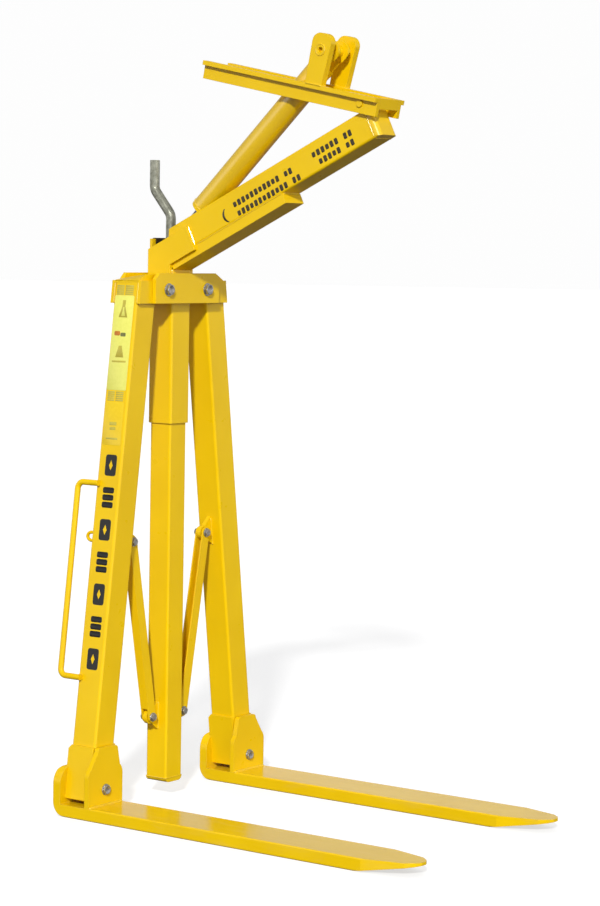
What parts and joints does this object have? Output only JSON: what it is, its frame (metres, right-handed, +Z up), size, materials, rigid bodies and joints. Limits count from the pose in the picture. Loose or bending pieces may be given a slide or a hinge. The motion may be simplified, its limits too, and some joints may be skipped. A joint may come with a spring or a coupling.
{
  "type": "crane pallet fork",
  "caption": "Self-balancing crane pallet fork with hinged tines, a crank-driven spreading mast and a sprung lifting lever on a boom.",
  "frame": {"origin": "middle of the footprint on the floor the tines stand on", "axes": "+X the way the tines point, +Y the left of someone behind the mast looking along the tines, +Z up"},
  "size_m": [1.168, 0.7712, 2.0639],
  "materials": {
    "frame_paint": "glossy golden yellow enamel",
    "tine_paint": "glossy golden yellow enamel, rubbed on the top and the tip",
    "zinc_hardware": "bright zinc-plated bolts and nuts",
    "bright_steel": "turned steel, lightly oiled",
    "crank_steel": "zinc-plated bent bar",
    "spring_steel": "black oiled spring wire"
  },
  "bodies": {
    "root": {"mast_tube": "frame_paint", "head_plate_front": "frame_paint", "head_plate_rear": "frame_paint", "head_pads": "frame_paint", "bearing_plate": "frame_paint", "boom_cheek_left": "frame_paint", "boom_cheek_right": "frame_paint", "boom_back_plate": "frame_paint", "boom_tube": "frame_paint", "boom_stiffener": "frame_paint", "boom_end_cap": "frame_paint", "lever_bush": "frame_paint", "strut_foot_pin": "frame_paint", "head_bolts": "zinc_hardware", "head_nuts": "zinc_hardware"},
    "leg_left": {"leg_tube_left": "frame_paint", "leg_bracket_left": "frame_paint", "brace_lug_left": "frame_paint", "brace_bolt_left": "zinc_hardware", "foot_sleeve_left": "frame_paint"},
    "leg_right": {"leg_tube_right": "frame_paint", "leg_bracket_right": "frame_paint", "brace_lug_right": "frame_paint", "brace_bolt_right": "zinc_hardware", "foot_sleeve_right": "frame_paint", "carry_handle": "frame_paint", "chain_peg": "frame_paint"},
    "fork_left": {"tine_left": "tine_paint", "tine_lug_left": "frame_paint", "tine_bolt_left": "zinc_hardware", "tine_nut_left": "zinc_hardware"},
    "fork_right": {"tine_right": "tine_paint", "tine_lug_right": "frame_paint", "tine_bolt_right": "zinc_hardware", "tine_nut_right": "zinc_hardware"},
    "inner_mast": {"inner_tube": "frame_paint", "tube_plug": "frame_paint", "tube_lugs": "frame_paint", "screw_nut": "bright_steel"},
    "brace_left": {"brace_bar_left": "frame_paint", "brace_pin_left": "zinc_hardware"},
    "brace_right": {"brace_bar_right": "frame_paint", "brace_pin_right": "zinc_hardware"},
    "crank": {"screw": "bright_steel", "crank_collar": "bright_steel", "crank_handle": "crank_steel"},
    "lever": {"rail_left": "frame_paint", "rail_right": "frame_paint", "lever_front_plate": "frame_paint", "hook_plate_left": "frame_paint", "hook_plate_right": "frame_paint", "lifting_pin": "frame_paint", "lever_pin": "frame_paint"},
    "strut_outer": {"strut_tube": "frame_paint", "strut_end_cap": "frame_paint", "strut_fork": "frame_paint"},
    "strut_inner": {"strut_rod": "bright_steel", "strut_piston": "bright_steel", "strut_spring": "spring_steel"}
  },
  "joints": [
    {"name": "leg_left_swing", "type": "hinge", "parent": "root", "child": "leg_left", "pos_m": [-0.48, 0.084, 1.39527], "axis": [1, 0, 0], "range_deg": [-3, 4]},
    {"name": "leg_right_swing", "type": "hinge", "parent": "root", "child": "leg_right", "pos_m": [-0.48, -0.084, 1.39527], "axis": [1, 0, 0], "range_deg": [-4, 3]},
    {"name": "tine_left_hinge", "type": "hinge", "parent": "leg_left", "child": "fork_left", "pos_m": [-0.48, 0.31564, 0.075], "axis": [1, 0, 0], "range_deg": [-4, 3]},
    {"name": "tine_right_hinge", "type": "hinge", "parent": "leg_right", "child": "fork_right", "pos_m": [-0.48, -0.31564, 0.075], "axis": [1, 0, 0], "range_deg": [-3, 4]},
    {"name": "inner_mast_slide", "type": "slide", "parent": "root", "child": "inner_mast", "axis": [0, 0, 1], "range_m": [-0.0125, 0.0165]},
    {"name": "brace_left_hinge", "type": "hinge", "parent": "leg_left", "child": "brace_left", "pos_m": [-0.48, 0.15863, 0.71826], "axis": [1, 0, 0], "range_deg": [-10, 7.5]},
    {"name": "brace_right_hinge", "type": "hinge", "parent": "leg_right", "child": "brace_right", "pos_m": [-0.48, -0.15863, 0.71826], "axis": [1, 0, 0], "range_deg": [-7.5, 10]},
    {"name": "crank_turn", "type": "hinge", "parent": "root", "child": "crank", "pos_m": [-0.48, 0, 1.45], "axis": [0, 0, 1], "range_deg": [-920, 700]},
    {"name": "lever_swing", "type": "hinge", "parent": "root", "child": "lever", "pos_m": [0.17222, 0, 1.88146], "axis": [0, 1, 0], "range_deg": [0, 20], "stiffness_Nm_per_rad": 1200, "springref_deg": -9.74},
    {"name": "strut_top_hinge", "type": "hinge", "parent": "lever", "child": "strut_outer", "pos_m": [0.05389, 0, 2.02008], "axis": [0, 1, 0], "range_deg": [-20, 0]},
    {"name": "strut_foot_hinge", "type": "hinge", "parent": "root", "child": "strut_inner", "pos_m": [-0.42804, 0, 1.55642], "axis": [0, 1, 0], "range_deg": [0, 1], "deforming": ["strut_spring"]}
  ],
  "couplings": [
    {"joint": "leg_right_swing", "follows": "leg_left_swing", "ratio": -1},
    {"joint": "tine_left_hinge", "follows": "leg_left_swing", "ratio": -1},
    {"joint": "tine_right_hinge", "follows": "leg_left_swing", "ratio": 1},
    {"joint": "inner_mast_slide", "follows": "leg_left_swing", "m_per_rad": 0.2146},
    {"joint": "brace_left_hinge", "follows": "leg_left_swing", "ratio": -2.3886},
    {"joint": "brace_right_hinge", "follows": "leg_left_swing", "ratio": 2.3886},
    {"joint": "crank_turn", "follows": "leg_left_swing", "ratio": -224.73},
    {"joint": "strut_top_hinge", "follows": "lever_swing", "ratio": -0.9514},
    {"joint": "strut_foot_hinge", "follows": "lever_swing", "ratio": 0.0486}
  ]
}
